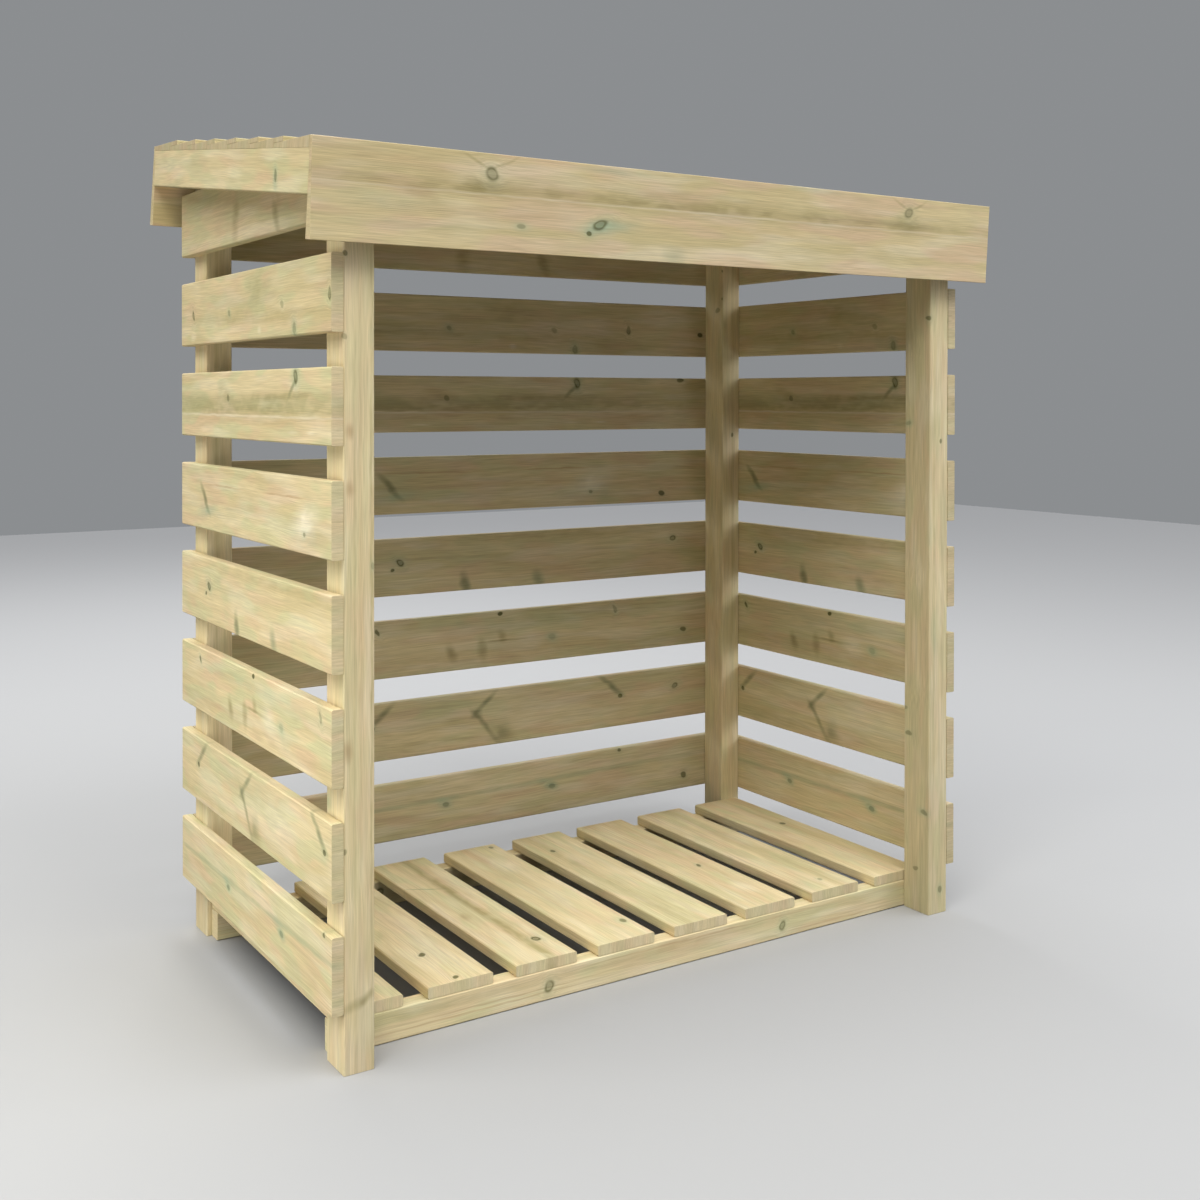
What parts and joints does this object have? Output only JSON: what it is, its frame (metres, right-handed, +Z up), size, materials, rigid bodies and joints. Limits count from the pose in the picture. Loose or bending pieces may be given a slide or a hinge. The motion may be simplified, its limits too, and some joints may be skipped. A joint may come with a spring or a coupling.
{
  "type": "log store",
  "caption": "Open-fronted slatted timber log store with a raised board floor and an overlapped board roof that falls towards the front.",
  "frame": {"origin": "on the ground, under the middle of the whole store", "axes": "+Z up, +X to the right when facing the open front, +Y from the open front towards the slatted back"},
  "size_m": [1.125, 0.6702, 1.1951],
  "materials": {
    "post_timber": "planed softwood, pressure treated, eased edges",
    "slat_timber": "planed softwood, pressure treated, pale green and pink streaks",
    "floor_timber": "planed softwood, pressure treated",
    "roof_frame_timber": "sawn and planed softwood, pressure treated",
    "roof_board_timber": "tapered softwood boards, fine sawn, pressure treated"
  },
  "bodies": {
    "root": {"back_slat_1": "slat_timber", "back_slat_2": "slat_timber", "back_slat_3": "slat_timber", "back_slat_4": "slat_timber", "back_slat_5": "slat_timber", "back_slat_6": "slat_timber", "back_slat_7": "slat_timber", "back_slat_8": "slat_timber", "fascia_back": "roof_frame_timber", "fascia_front": "roof_frame_timber", "floor_boards": "floor_timber", "floor_rail_back": "floor_timber", "floor_rail_front": "floor_timber", "left_slat_1": "slat_timber", "left_slat_2": "slat_timber", "left_slat_3": "slat_timber", "left_slat_4": "slat_timber", "left_slat_5": "slat_timber", "left_slat_6": "slat_timber", "left_slat_7": "slat_timber", "left_slat_8": "slat_timber", "post_back_left": "post_timber", "post_back_right": "post_timber", "post_front_left": "post_timber", "post_front_right": "post_timber", "rafter_left": "roof_frame_timber", "rafter_right": "roof_frame_timber", "right_slat_1": "slat_timber", "right_slat_2": "slat_timber", "right_slat_3": "slat_timber", "right_slat_4": "slat_timber", "right_slat_5": "slat_timber", "right_slat_6": "slat_timber", "right_slat_7": "slat_timber", "right_slat_8": "slat_timber", "roof_board_1": "roof_board_timber", "roof_board_2": "roof_board_timber", "roof_board_3": "roof_board_timber", "roof_board_4": "roof_board_timber", "roof_board_5": "roof_board_timber", "roof_board_6": "roof_board_timber", "roof_board_7": "roof_board_timber"}
  },
  "joints": []
}
